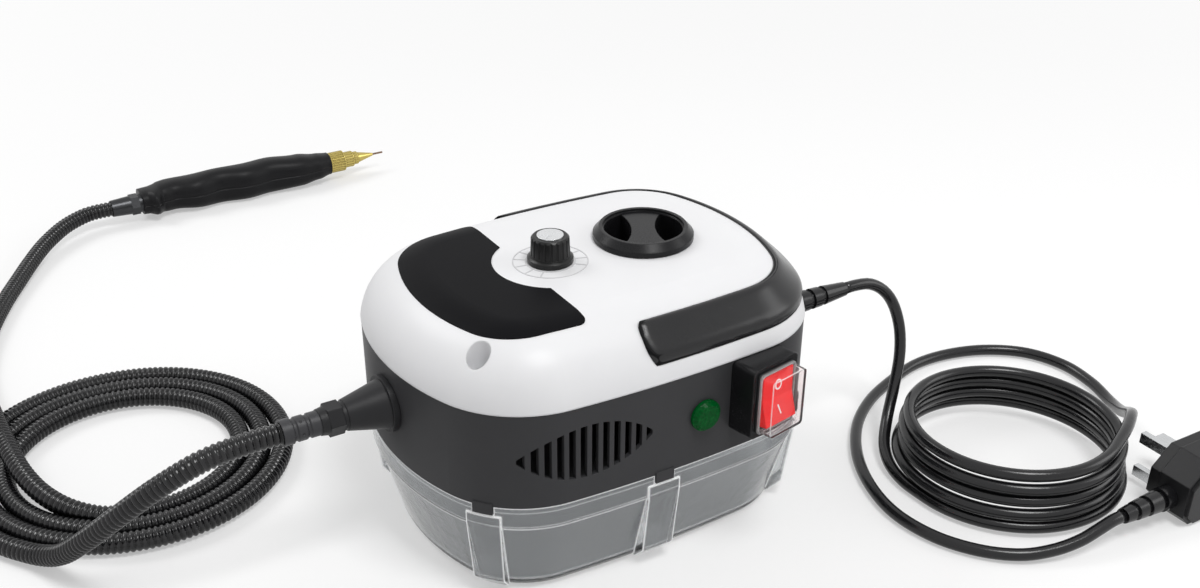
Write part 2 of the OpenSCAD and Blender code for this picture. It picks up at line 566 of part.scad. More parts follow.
module cord_relief() color([0.1, 0.1, 0.11]) difference() {
  union() {
    difference() {
      at_wall(0, relief_a, relief_z) out() translate([0, 0, -4]) cylinder(r = 8.5, h = 7);
      wall_solid([0]);
    }
    at_wall(0, relief_a, relief_z) out() translate([0, 0, -7]) cylinder(r = 5.6, h = 8);
    translate([hl - band_in - 0.2, -22, relief_z]) rotate([0, 90, 0]) rotate_extrude()
      polygon([[0, 0], [6.8, 0], [6.6, 11.8], [5, 12.2], [5, 14.6], [6.4, 15], [6.2, 20.8], [4.8, 21.2],
        [4.8, 23.6], [6.1, 24], [5.9, 29.8], [4.6, 30.2], [4.6, 32.6], [5.7, 33], [4.2, 49], [0, 49]]);
  }
}
module mains_lead() color([0.08, 0.08, 0.09]) cord_run(3, 30, cord_d, 8);
module mains_coil() color([0.08, 0.08, 0.09]) cord_run(4, 112, cord_d, 6);
module mains_tail() color([0.08, 0.08, 0.09]) cord_run(5, 66, cord_d, 8);

// Plug
module plug_2d(e) polygon([[e, -8 + e], [6 + e, -14 + e], [50 - e, -14 + e], [50 - e, 24 - e],
  [13 + e, 24 - e], [e, 12 - e]]);
module plug_body() color([0.12, 0.12, 0.13]) translate(plug_o) {
  translate([0, 8, 0]) out() linear_extrude(20) plug_2d(0);
  translate([0, -12, 0]) out() linear_extrude(2) plug_2d(1.4);
  translate([0, 16, 0]) out() linear_extrude(9) plug_2d(2.4);
}
module plug_relief() color([0.12, 0.12, 0.13]) translate(plug_o - [relief_l, 0, 0]) rotate([0, 90, 0])
  rotate_extrude() polygon([[0, 0], [4.4, 0], [5, 6], [4, 6.4], [4, 8.6], [5.4, 9], [5.8, 15], [4.6, 15.4],
    [4.6, 17.6], [6, 18], [6.4, 26], [5, 26.4], [5, 28.6], [7, 29], [7, 36], [0, 36]]);
module plug_pins() color([0.75, 0.65, 0.4]) translate(plug_o + [0, 16, 5]) {
  for (z = [-11.1, 11.1]) translate([12, 0, z - 3.2]) cube([4, 17.7, 6.4]);
  translate([32.2, 0, -2]) cube([8, 22.7, 4]);
}

// Works inside the body
works_z = floor_z;
module boiler() color([0.66, 0.67, 0.69]) {
  translate([-59, 0, works_z + 6]) linear_extrude(34) slab(58, 68, 9);
  translate([-59, 0, works_z + 40]) linear_extrude(3) slab(50, 60, 8);
  for (x = [-22, 22]) for (y = [-27, 27]) translate([x - 59, y, works_z]) cylinder(r = 4, h = 7);
  for (y = [-18, 18]) translate([-30, y, works_z + 14]) rotate([0, 90, 0]) cylinder(r = 4, h = 12);
}
module thermal_cutout() color([0.75, 0.73, 0.68]) translate([-59, 12, works_z + 43]) {
  cylinder(r = 8, h = 3);
  translate([0, 0, 3]) cylinder(r = 5.5, h = 5);
  for (x = [-4, 4]) translate([x - 0.4, -2, 6]) cube([0.8, 4, 9]);
}
steam_l = hl - band_in - 96;
module steam_pipe() color([0.72, 0.5, 0.3]) translate([-88 - steam_l, 0, gland_z]) rotate([0, 90, 0])
  difference() {
    union() {
      cylinder(r = 3.4, h = steam_l);
      translate([0, 0, steam_l - 8]) cylinder(r = 6, h = 8, $fn = 6);
    }
    translate([0, 0, -1]) cylinder(r = 2.2, h = 60);
  }
pump_z = works_z + 22;
module pump() color([0.25, 0.26, 0.28]) translate([-25, pump_y, pump_z]) rotate([0, 90, 0]) {
  translate([0, 0, 12]) cylinder(r = 19, h = 42);
  translate([0, 0, 6]) cylinder(r = 12, h = 60);
  cylinder(r = 5, h = 70);
}
module pump_mount() color([0.1, 0.1, 0.1]) for (x = [-9, 19]) difference() {
  translate([x, pump_y - 16, works_z]) cube([7, 32, 17]);
  translate([x - 1, pump_y, pump_z]) rotate([0, 90, 0]) cylinder(r = 19, h = 9);
}
module elbow(r, d, b) rotate_extrude(angle = 90) translate([r, 0]) difference() {
  circle(d = d);
  circle(d = b);
}
module pipe(h, d, b) difference() {
  cylinder(d = d, h = h);
  translate([0, 0, -1]) cylinder(d = b, h = h + 2);
}
module pump_pipe() color([0.85, 0.85, 0.83]) translate([0, 0, pump_z]) {
  translate([-58, pump_y, 0]) rotate([0, 90, 0]) pipe(33, 7, 4);
  translate([-58, pump_y - 12, 0]) rotate([0, 0, 90]) elbow(12, 7, 4);
  translate([-70, 34, 0]) rotate([-90, 0, 0]) pipe(pump_y - 46, 7, 4);
}
module suction_pipe() color([0.85, 0.85, 0.83]) {
  translate([45, pump_y, pump_z]) rotate([0, 90, 0]) pipe(13, 7, 4);
  translate([58, pump_y, pump_z - 12]) rotate([90, 0, 0]) elbow(12, 7, 4);
  translate([70, pump_y, 14]) pipe(pump_z - 12 - 14, 7, 4);
  translate([70, pump_y, 4]) difference() {
    cylinder(r = 7, h = 10);
    translate([0, 0, 1.5]) cylinder(r = 5.5, h = 7);
    for (a = [0:45:315]) rotate([0, 0, a]) translate([4, -0.7, 2]) cube([5, 1.4, 6]);
  }
}
module control_board() color([0.1, 0.35, 0.2]) translate([72, -14, works_z + 5]) {
  cube([32, 48, 1.6]);
  translate([4, 6, 1]) cube([14, 18, 15]);
  translate([22, 10, 1]) cylinder(r = 5, h = 18);
  translate([6, 30, 1]) cube([20, 12, 9]);
}

// Gun, built along its own axis from the rear of the shells, then laid on its side
module gun() translate(gun_o) rotate([-90, 0, 0]) children();
gs = gun_l / 159;
function smooth(s, T) = let(n = len(T) - 1, i = max([for (k = [0:n - 1]) if (s >= T[k][0]) k]),
  f = min(max((s - T[i][0]) / (T[i + 1][0] - T[i][0]), 0), 1), e = (1 - cos(180 * f)) / 2)
  T[i][1] + (T[i + 1][1] - T[i][1]) * e;
TOP = [[0, 14.4], [23, 17.4], [60, 13.2], [86, 13.2], [106, 14.8], [130, 12.4], [159, 9]];
LOW = [[0, -9.4], [4, -9.8], [9.5, -15], [17, -8.6], [26, -7.2], [44, -11.8], [63, -8.2], [86, -13.2],
  [106, -10.2], [131, -13.2], [146, -12], [159, -8.6]];
SIDE = [[0, 0.68], [24, 0.86], [62, 1], [106, 1], [132, 0.9], [148, 0.74], [159, 0.63]];
FIN = [[-1.7, 0], [-1.25, 1], [1.25, 1], [1.7, 0]];
STEPS = concat([[0, 0], [2.4, 0], [2.6, 0], [4.5, 0], [7, 0], [9.4, 0]],
  [for (k = [0:12]) for (f = FIN) [13 + 6 * k + f[0], f[1]]],
  [[90, 0], [94, 0], [97, 0], [100, 0], [103.5, 0]],
  [for (k = [0:5]) for (f = FIN) [108 + 5.6 * k + f[0], f[1]]],
  [[141, 0], [145, 0], [149, 0], [153, 0], [156.4, 0], [156.6, 0], [159, 0]]);
function bulge(v) = sign(v) * pow(abs(v), 0.8);
function section(s, cut, side) = let(t = smooth(s, TOP), b = smooth(s, LOW),
    w = gun_w / 2 * smooth(s, SIDE), c = (t + b) / 2, h = (t - b) / 2, tight = s < 2.5 || s > 156.5,
    it = tight ? 6.8 : t - 5.4, ib = tight ? -6.8 : max(b + 2.8, -11.4), iw = tight ? 6.8 : w - 2.6,
    ic = (it + ib) / 2, ih = (it - ib) / 2)
  concat([for (k = [0:8]) let(a = -90 + 22.5 * k) [s * gs, side * w * bulge(cos(a)),
      c + h * bulge(sin(a)) - cut * 3.2 * max(0, (sin(a) - 0.45) / 0.55)]],
    [for (k = [4:-1:0]) let(a = -90 + 45 * k) [s * gs, side * iw * bulge(cos(a)), ic + ih * bulge(sin(a))]]);
module grip_shell(side) difference() {
  m = 14;
  n = len(STEPS) - 1;
  pts = [for (q = STEPS) each section(q[0], q[1], side)];
  polyhedron(pts, concat(skins(n, m, 0, side < 0),
    [for (k = [0:7]) let(i = 13 - floor(k / 2)) side < 0 ? [k + 1, k, i] : [k, k + 1, i]],
    [for (k = [1:2:7]) let(i = 13 - floor(k / 2)) side < 0 ? [k + 1, i, i - 1] : [i, k + 1, i - 1]],
    [for (k = [0:7]) let(o = n * m, i = 13 - floor(k / 2))
      side < 0 ? [o + k, o + k + 1, o + i] : [o + k + 1, o + k, o + i]],
    [for (k = [1:2:7]) let(o = n * m, i = 13 - floor(k / 2))
      side < 0 ? [o + i, o + k + 1, o + i - 1] : [o + k + 1, o + i, o + i - 1]]), convexity = 10);
  translate([97 * gs - 6, -4.2, 4]) cube([12, 8.4, 20]);
}
module gun_shell_right() color([0.11, 0.11, 0.12]) gun() grip_shell(-1);
module gun_shell_left() color([0.11, 0.11, 0.12]) gun() grip_shell(1);
module lathe(x) translate([x, 0, 0]) rotate([0, 90, 0]) children();
module gun_connector() color([0.36, 0.37, 0.39]) gun() difference() {
  union() {
    lathe(-gun_rear) cylinder(r1 = 6.5, r2 = 7.4, h = 15);
    lathe(-9) cylinder(r = 8.4, h = 6.4, $fn = 6);
    lathe(-2.6) cylinder(r = 7.4, h = 2.6);
    lathe(-0.5) cylinder(r = 6.3, h = 2.8);
  }
  lathe(-gun_rear - 1) cylinder(r = 3, h = 40);
}
module gun_steam_tube() color([0.76, 0.6, 0.3]) gun() difference() {
  union() {
    lathe(-gun_rear + 14) cylinder(r = 3, h = gun_l + gun_rear - 14);
    lathe(gun_l - 2.3 * gs) cylinder(r = 6.3, h = 2.3 * gs + 7);
  }
  lathe(-gun_rear) cylinder(r = 1.8, h = 220);
}
module thumb_button() color([0.2, 0.2, 0.21]) gun() translate([97 * gs, 0, 0]) {
  translate([0, 0, 6.2]) linear_extrude(10.2) slab(11.2, 7.6, 2);
  translate([0, 0, 16.3]) linear_extrude(0.7) slab(9.6, 6, 1.6);
  translate([0, 0, 5.65]) linear_extrude(0.8) slab(13, 8.6, 1);
}
module gun_switch() color([0.15, 0.15, 0.16]) gun() translate([97 * gs, 0, 0]) {
  translate([8.5, -3, 3.1]) cube([13, 6, 3.5]);
  translate([-5, -2, 3.1]) cube([14, 4, 0.45]);
}
module knurl(r, h, n) difference() {
  cylinder(r = r, h = h);
  for (k = [0:n - 1]) rotate([0, 0, 360 / n * k]) translate([r + 0.25, 0, 0.8])
    cylinder(r = r * 0.09, h = h - 1.6);
}
nose = gun_l + gap;
module nozzle_collar() color([0.8, 0.62, 0.25]) gun() difference() {
  lathe(nose) knurl(collar_d / 2, 12.6, 24);
  lathe(nose - 1) cylinder(r = 6.3 + fit, h = 9);
  lathe(nose + 7) cylinder(r = 4.5 + fit, h = 10);
}
module nozzle_adapter() color([0.82, 0.66, 0.3]) gun() difference() {
  union() {
    lathe(nose + 13) knurl(6.6, 8, 18);
    lathe(nose + 21) knurl(5.4, 4.4, 16);
    lathe(nose + 8.6) cylinder(r = 4.5, h = 5);
  }
  lathe(nose + 8) cylinder(r = 1.5, h = 20);
}
module nozzle_cone() color([0.85, 0.7, 0.35]) gun() difference() {
  lathe(nose + 25.4) cylinder(r1 = 4.7, r2 = 1.2, h = 14.4);
  lathe(nose + 25) cylinder(r = 0.8, h = 20);
}
module nozzle_needle() color([0.7, 0.6, 0.45]) gun() difference() {
  lathe(nose + 33) cylinder(r = 0.8, h = 16);
  lathe(nose + 32) cylinder(r = 0.4, h = 20);
}

// Least clear distances between turns, taken on the centre lines
function least(A, B, skip) = min([for (i = [0:len(A) - 1]) for (j = [0:len(B) - 1])
  if (A != B || abs(i - j) > skip) norm(A[i] - B[j])]);
echo(hose_gap = least(run(1, 140), run(1, 140), 20) - hose_d);
echo(hose_tail_gap = least(run(1, 140), [for (i = [8:60]) where(2, i / 60)], 0) - hose_d);
echo(hose_lead_gap = least([for (i = [6:140]) where(1, i / 140)], [for (i = [0:38]) where(0, i / 40)], 0)
  - hose_d);
echo(cord_gap = least(run(4, 160), run(4, 160), 12) - cord_d);
echo(cord_tail_gap = least([for (i = [0:150]) where(4, i / 160)], [for (i = [3:80]) where(5, i / 80)], 0)
  - cord_d);
echo(cord_lead_gap = least([for (i = [8:160]) where(4, i / 160)], [for (i = [0:37]) where(3, i / 40)], 0)
  - cord_d);
echo(cord_cross_gap = least(run(5, 120), run(3, 40), 0) - cord_d);
function length(L) = len(L) < 2 ? 0
  : [for (i = [1:len(L) - 1]) norm(L[i] - L[i - 1])] * [for (i = [1:len(L) - 1]) 1];
echo(hose_length = length(run(0, 60)) + length(run(1, 300)) + length(run(2, 120)));
echo(cord_length = length(run(3, 60)) + length(run(4, 300)) + length(run(5, 160)));

water_tank();
tank_gasket();
mid_housing();
chassis_plate();
top_cover();
grip_band();
label_panel();
cover_screw();
chassis_screws();
dial_ring();
control_knob();
knob_disc();
control_shaft();
control_body();
filler_neck();
cap_gasket();
filler_cap();
indicator_lamp();
lamp_body();
switch_bezel();
switch_body();
rocker();
switch_boot();
hose_gland();
hose_nut();
hose_sleeve();
hose_lead();
hose_coil();
hose_tail();
cord_relief();
mains_lead();
mains_coil();
mains_tail();
plug_body();
plug_relief();
plug_pins();
boiler();
thermal_cutout();
steam_pipe();
pump();
pump_mount();
pump_pipe();
suction_pipe();
control_board();
gun_shell_right();
gun_shell_left();
gun_connector();
gun_steam_tube();
thumb_button();
gun_switch();
nozzle_collar();
nozzle_adapter();
nozzle_cone();
nozzle_needle();
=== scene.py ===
import json
import math

import bmesh
import bpy
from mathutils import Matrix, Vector


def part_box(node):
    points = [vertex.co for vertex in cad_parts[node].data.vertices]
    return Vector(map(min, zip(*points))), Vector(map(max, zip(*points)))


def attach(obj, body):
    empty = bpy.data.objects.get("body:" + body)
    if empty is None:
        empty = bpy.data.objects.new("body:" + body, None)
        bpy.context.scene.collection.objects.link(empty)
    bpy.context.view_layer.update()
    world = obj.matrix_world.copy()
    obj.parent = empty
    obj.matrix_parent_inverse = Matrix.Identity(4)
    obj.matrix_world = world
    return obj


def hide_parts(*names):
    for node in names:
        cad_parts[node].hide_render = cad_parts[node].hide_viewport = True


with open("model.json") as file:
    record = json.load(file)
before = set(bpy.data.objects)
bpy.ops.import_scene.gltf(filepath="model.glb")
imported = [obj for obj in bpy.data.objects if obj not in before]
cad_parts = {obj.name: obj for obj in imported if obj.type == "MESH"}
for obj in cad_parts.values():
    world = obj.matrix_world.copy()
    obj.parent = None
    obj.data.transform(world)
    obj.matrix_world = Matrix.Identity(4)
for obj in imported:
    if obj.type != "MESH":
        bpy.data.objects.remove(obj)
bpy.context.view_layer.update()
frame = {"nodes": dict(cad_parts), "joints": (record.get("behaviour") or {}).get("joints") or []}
nodes = frame["nodes"]
print("frame loaded:", len(nodes), "nodes")

mm = 0.001


class Wire:  # a socket of a shader tree, or the tree alone, that can be used in sums
    def __init__(self, tree, link=None):
        self.tree, self.link = tree, link

    def node(self, kind, settings=None, inputs=None, out=0):
        made = self.tree.nodes.new("ShaderNode" + kind)
        for key, value in (settings or {}).items():
            if key == "stops":
                ramp = made.color_ramp
                while len(ramp.elements) < len(value):
                    ramp.elements.new(0.5)
                for element, (place, shade) in zip(ramp.elements, value):
                    element.position = place
                    element.color = shade if len(shade) == 4 else (*shade, 1)
            else:
                setattr(made, key, value)
        for key, value in (inputs or {}).items():
            if isinstance(value, Wire):
                self.tree.links.new(value.link, made.inputs[key])
            else:
                made.inputs[key].default_value = value
        return Wire(self.tree, made.outputs[out])

    def sums(self, how, a, b):
        return self.node("Math", {"operation": how}, {0: a, 1: b})

    def __add__(self, other): return self.sums("ADD", self, other)
    def __radd__(self, other): return self.sums("ADD", other, self)
    def __sub__(self, other): return self.sums("SUBTRACT", self, other)
    def __rsub__(self, other): return self.sums("SUBTRACT", other, self)
    def __mul__(self, other): return self.sums("MULTIPLY", self, other)
    def __rmul__(self, other): return self.sums("MULTIPLY", other, self)

    def clamped(self, how, a, b):
        return self.node("Math", {"operation": how, "use_clamp": True}, {0: a, 1: b})

    def noise(self, scale, detail):
        return self.node("TexNoise", None, {"Vector": self.place(), "Scale": scale, "Detail": detail,
                                            "Roughness": 0.55})

    def place(self):
        return self.node("TexCoord", None, None, "Object")

    def tint(self, mask, low, high):
        low, high = (shade if isinstance(shade, Wire) else (*shade, 1) for shade in (low, high))
        return self.node("Mix", {"data_type": "RGBA"}, {0: mask, 6: low, 7: high}, 2)

    def bump(self, height, strength, distance, edge):  # edge: how far a sharp corner looks rounded
        soft = self.node("Bevel", {"samples": 4}, {"Radius": edge})
        return self.node("Bump", None, {"Height": height, "Strength": strength, "Distance": distance,
                                        "Normal": soft})


finishes = {}


def finish(name, fill):
    mat = bpy.data.materials.new(name)
    mat.use_nodes = True
    tree = mat.node_tree
    tree.nodes.clear()
    shader = fill(Wire(tree))
    output = tree.nodes.new("ShaderNodeOutputMaterial")
    tree.links.new(shader.link, output.inputs["Surface"])
    finishes[name] = mat


# moulded plastics: two close shades, a grain and a range of roughness
mouldings = {
    "whiteGloss": dict(low=(0.80, 0.80, 0.815), high=(0.84, 0.84, 0.85), rough=(0.36, 0.46), coat=0.05,
                       grain=700, depth=0.05, edge=0.0012, shine=0.35),
    "bandGrey": dict(low=(0.033, 0.033, 0.035), high=(0.043, 0.043, 0.046), rough=(0.40, 0.50), coat=0.0,
                     grain=2600, depth=0.25, edge=0.0006, shine=0.2),
    "gripDark": dict(low=(0.008, 0.008, 0.009), high=(0.013, 0.013, 0.014), rough=(0.17, 0.25), coat=0.0,
                     grain=2200, depth=0.12, edge=0.002, shine=0.36),
    # painted shade: the grip band shows only as the dark gap line round the pad
    "gapShadeBlack": dict(low=(0.004, 0.004, 0.004), high=(0.007, 0.007, 0.008), rough=(0.45, 0.6), coat=0.0,
                      grain=1800, depth=0.1, edge=0.0005, shine=0.08),
    "gunBlack": dict(low=(0.008, 0.008, 0.009), high=(0.013, 0.013, 0.014), rough=(0.32, 0.44), coat=0.0,
                     grain=2400, depth=0.3, edge=0.0006, shine=0.13),
    "capBlack": dict(low=(0.007, 0.007, 0.008), high=(0.012, 0.012, 0.013), rough=(0.22, 0.31), coat=0.0,
                     grain=1800, depth=0.12, edge=0.0009, shine=0.18),
    "knobBlack": dict(low=(0.007, 0.007, 0.007), high=(0.012, 0.012, 0.012), rough=(0.25, 0.35), coat=0.0,
                      grain=2000, depth=0.15, edge=0.0005, shine=0.25),
    "glandBlack": dict(low=(0.011, 0.011, 0.012), high=(0.018, 0.018, 0.020), rough=(0.34, 0.46), coat=0.0,
                       grain=2200, depth=0.25, edge=0.0008, shine=0.24),
    "chassisBlack": dict(low=(0.020, 0.020, 0.021), high=(0.030, 0.030, 0.031), rough=(0.45, 0.6), coat=0.0,
                         grain=1500, depth=0.2, edge=0.0005),
    "plugBlack": dict(low=(0.009, 0.009, 0.010), high=(0.015, 0.015, 0.016), rough=(0.28, 0.40), coat=0.0,
                      grain=1500, depth=0.2, edge=0.0011, shine=0.24),
    "sleeveGrey": dict(low=(0.034, 0.034, 0.037), high=(0.050, 0.050, 0.054), rough=(0.34, 0.48), coat=0.0,
                       grain=1700, depth=0.25, edge=0.0006, shine=0.3),
    "panelFilm": dict(low=(0.004, 0.004, 0.005), high=(0.007, 0.007, 0.008), rough=(0.42, 0.52), coat=0.0,
                      grain=500, depth=0.06, edge=0.0003, shine=0.04),
    "dialPrint": dict(low=(0.60, 0.60, 0.61), high=(0.67, 0.67, 0.68), rough=(0.4, 0.5), coat=0.0,
                      grain=1500, depth=0.05, edge=0.0002),
    "markWhite": dict(low=(0.80, 0.80, 0.80), high=(0.88, 0.88, 0.88), rough=(0.35, 0.45), coat=0.0,
                      grain=1500, depth=0.05, edge=0.0002),
    "sealBlack": dict(low=(0.012, 0.012, 0.012), high=(0.02, 0.02, 0.02), rough=(0.5, 0.65), coat=0.0,
                      grain=1200, depth=0.2, edge=0.0003),
    "sealRed": dict(low=(0.28, 0.05, 0.04), high=(0.36, 0.07, 0.05), rough=(0.45, 0.6), coat=0.0,
                    grain=1200, depth=0.2, edge=0.0003),
    "boardGreen": dict(low=(0.03, 0.16, 0.07), high=(0.04, 0.22, 0.10), rough=(0.35, 0.5), coat=0.2,
                       grain=400, depth=0.2, edge=0.0003),
    "siliconeTube": dict(low=(0.62, 0.62, 0.58), high=(0.70, 0.70, 0.66), rough=(0.35, 0.5), coat=0.0,
                         grain=600, depth=0.1, edge=0.0003),
}


mouldSkin = dict(cloud=38, cloudShare=0.6, grainShare=0.4, coatRough=0.12, grainHeight=0.0002, shine=0.5)


def moulding(p):
    def fill(w):
        cloud = w.noise(mouldSkin["cloud"], 4)
        grain = w.noise(p["grain"], 2)
        low, high = p["rough"]
        worn = cloud * mouldSkin["cloudShare"] + grain * mouldSkin["grainShare"]
        return w.node("BsdfPrincipled", None, {
            "Base Color": w.tint(cloud, p["low"], p["high"]), "Roughness": worn * (high - low) + low,
            "Coat Weight": p["coat"], "Coat Roughness": mouldSkin["coatRough"],
            "Specular IOR Level": p.get("shine", mouldSkin["shine"]),
            "Normal": w.bump(grain, p["depth"], mouldSkin["grainHeight"], p["edge"])})
    return fill


for name, p in mouldings.items():
    finish(name, moulding(p))

# metals: a drawn or turned surface with fine scratches
metals = {
    # brassBright's groove colour is painted shade for the hollows of the knurl
    "brassBright": dict(low=(0.42, 0.33, 0.085), high=(0.66, 0.54, 0.19), rough=(0.13, 0.26),
                        stretch=(1, 6, 6), grooveShade=(0.05, 0.032, 0.008)),
    "needleBronze": dict(low=(0.14, 0.085, 0.06), high=(0.26, 0.17, 0.12), rough=(0.2, 0.36),
                         stretch=(1, 5, 5)),
    "copperTube": dict(low=(0.55, 0.30, 0.16), high=(0.72, 0.45, 0.27), rough=(0.2, 0.36),
                       stretch=(1, 5, 5)),
    "steelBright": dict(low=(0.50, 0.51, 0.52), high=(0.66, 0.67, 0.68), rough=(0.2, 0.34),
                        stretch=(1, 1, 6)),
    "connectorGrey": dict(low=(0.035, 0.036, 0.038), high=(0.060, 0.061, 0.064), rough=(0.24, 0.38),
                          stretch=(1, 6, 6)),
    "castAlloy": dict(low=(0.48, 0.49, 0.50), high=(0.60, 0.61, 0.62), rough=(0.42, 0.58),
                      stretch=(1, 1, 1)),
    "pumpSteel": dict(low=(0.06, 0.065, 0.07), high=(0.10, 0.105, 0.11), rough=(0.35, 0.5),
                      stretch=(1, 1, 1)),
}


metalSkin = dict(lines=420, cloud=60, ridgeGap=0.0016, scratch=0.08, scratchHeight=0.0001, edge=0.0003)


def metal(p):
    def fill(w):
        where = w.node("Mapping", None, {"Vector": w.place(), "Scale": p["stretch"]})
        lines = w.node("TexNoise", None, {"Vector": where, "Scale": metalSkin["lines"], "Detail": 3})
        cloud = w.noise(metalSkin["cloud"], 3)
        low, high = p["rough"]
        shade = w.tint(cloud * 0.5 + lines * 0.5, p["low"], p["high"])
        if "grooveShade" in p:  # painted shade: the base colour darkens between the ridges by occlusion
            openToLight = w.node("AmbientOcclusion", {"samples": 8}, {"Distance": metalSkin["ridgeGap"]}, "AO")
            shade = w.tint(openToLight * openToLight, p["grooveShade"], shade)
        return w.node("BsdfPrincipled", None, {
            "Base Color": shade, "Metallic": 1.0, "Roughness": lines * (high - low) + low,
            "Normal": w.bump(lines, metalSkin["scratch"], metalSkin["scratchHeight"], metalSkin["edge"])})
    return fill


for name, p in metals.items():
    finish(name, metal(p))

disc = dict(low=(0.62, 0.63, 0.64), high=(0.78, 0.79, 0.80), rough=(0.2, 0.3), ringsPerMetre=26000,
            ringDepth=0.15, ringHeight=0.0001, edge=0.0003)
discAt = (*[(a + b) / 2 for a, b in zip(*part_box("knob_disc"))][:2], 0)


def spunDisc(w):  # fine rings round the knob's axis
    across = w.node("VectorMath", {"operation": "SUBTRACT"}, {0: w.place(), 1: discAt})
    flat = w.node("VectorMath", {"operation": "MULTIPLY"}, {0: across, 1: (1, 1, 0)})
    radius = w.node("VectorMath", {"operation": "LENGTH"}, {0: flat}, "Value")
    rings = w.node("Math", {"operation": "SINE"}, {0: radius * disc["ringsPerMetre"]}) * 0.5 + 0.5
    smooth, dull = disc["rough"]
    return w.node("BsdfPrincipled", None, {
        "Base Color": w.tint(rings, disc["low"], disc["high"]), "Metallic": 1.0,
        "Roughness": rings * (dull - smooth) + smooth,
        "Normal": w.bump(rings, disc["ringDepth"], disc["ringHeight"], disc["edge"])})


finish("spunDisc", spunDisc)


# clear mouldings: part haze, part see-through, with painted pale highlight lines, faintly glowing, at the
# edges
clears = {
    "clearTank": dict(low=(0.545, 0.56, 0.57), high=(0.635, 0.65, 0.66), rough=(0.01, 0.05), bend=1.24,
                      through=0.975, cloud=26, wave=0.7, edge=0.0018, rim=1.0, glow=0.3,
                      coat=0.4),
    # the boot's faint pink is painted red light from the rocker seen through its walls
    "clearBoot": dict(low=(0.95, 0.90, 0.90), high=(0.98, 0.95, 0.95), rough=(0.03, 0.08), bend=1.1,
                      through=0.985, cloud=120, wave=0.04, edge=0.0007, rim=0.5, glow=0.25,
                      coat=0.12),
}


# the line colours are painted highlight for the clear edges
clearSkin = dict(scuff=900, scuffShare=0.1, cloudShare=0.9, waveHeight=0.002, coatRough=0.05, edgeGain=7.0,
                 highlightLow=(0.84, 0.85, 0.86), highlightHigh=(0.92, 0.92, 0.93), highlightRough=(0.25, 0.35))


def clearMoulding(p):
    def fill(w):
        cloud = w.noise(p["cloud"], 3)
        scuff = w.noise(clearSkin["scuff"], 2)
        low, high = p["rough"]
        soft = w.node("Bevel", {"samples": 6}, {"Radius": p["edge"]})
        flat = w.node("NewGeometry", None, None, "Normal")
        facing = w.node("VectorMath", {"operation": "DOT_PRODUCT"}, {0: soft, 1: flat}, "Value")
        rim = w.clamped("MULTIPLY", 1 - facing, clearSkin["edgeGain"])
        ripple = cloud * clearSkin["cloudShare"] + scuff * clearSkin["scuffShare"]
        wall = w.node("BsdfPrincipled", None, {
            "Base Color": w.tint(cloud, p["low"], p["high"]), "Roughness": cloud * (high - low) + low,
            "IOR": p["bend"], "Transmission Weight": p["through"],
            "Coat Weight": p["coat"], "Coat Roughness": clearSkin["coatRough"],
            "Normal": w.bump(ripple, p["wave"], clearSkin["waveHeight"], p["edge"])})
        smooth, dull = clearSkin["highlightRough"]
        # painted highlight: a pale, faintly glowing shader mixed in along the edges
        line = w.node("BsdfPrincipled", None, {
            "Base Color": w.tint(cloud, clearSkin["highlightLow"], clearSkin["highlightHigh"]),
            "Roughness": cloud * (dull - smooth) + smooth,
            "Emission Color": (1, 1, 1, 1), "Emission Strength": p["glow"]})
        return w.node("MixShader", None, {0: rim * p["rim"], 1: wall, 2: line})
    return fill


for name, p in clears.items():
    finish(name, clearMoulding(p))

lens = dict(low=(0.0, 0.034, 0.006), high=(0.0, 0.092, 0.014), lit=(0.0, 0.2, 0.04, 1), glow=0.06,
            shine=0.06, prisms=620, prismDepth=0.5, prismHeight=0.0004, edge=0.0005)
rockerCap = dict(low=(0.70, 0.008, 0.010), high=(0.82, 0.014, 0.016), lit=(0.6, 0.01, 0.01, 1), glow=0.18,
                 shine=0.25, grain=1500, depth=0.08, grainHeight=0.0002, edge=0.0007)


def lampLens(w):  # small prisms behind a smooth face
    cells = w.node("TexVoronoi", {"distance": "EUCLIDEAN"},
                   {"Vector": w.place(), "Scale": lens["prisms"]}, "Distance")
    cloud = w.noise(90, 3)
    return w.node("BsdfPrincipled", None, {
        "Base Color": w.tint(cells * 0.8 + cloud * 0.2, lens["low"], lens["high"]),
        "Roughness": cells * 0.1 + 0.2, "Specular IOR Level": lens["shine"],
        "Emission Color": lens["lit"], "Emission Strength": lens["glow"],
        "Normal": w.bump(cells, lens["prismDepth"], lens["prismHeight"], lens["edge"])})


def rockerRed(w):
    cloud = w.noise(70, 3)
    grain = w.noise(rockerCap["grain"], 2)
    return w.node("BsdfPrincipled", None, {
        "Base Color": w.tint(cloud, rockerCap["low"], rockerCap["high"]),
        "Roughness": grain * 0.1 + 0.2, "Specular IOR Level": rockerCap["shine"],
        "Emission Color": rockerCap["lit"], "Emission Strength": rockerCap["glow"],
        "Normal": w.bump(grain, rockerCap["depth"], rockerCap["grainHeight"], rockerCap["edge"])})


# the groove colours and shine are painted shade for the hose's grooves
jacket = dict(low=(0.005, 0.005, 0.006), high=(0.010, 0.010, 0.011), grooveShadeLow=(0.001, 0.001, 0.001),
              grooveShadeHigh=(0.002, 0.002, 0.002), hoseShine=0.46, grooveShadeShine=0.03, leadShine=0.4,
              grooveReach=0.0022, crestFrom=0.68, crestGain=4.0)


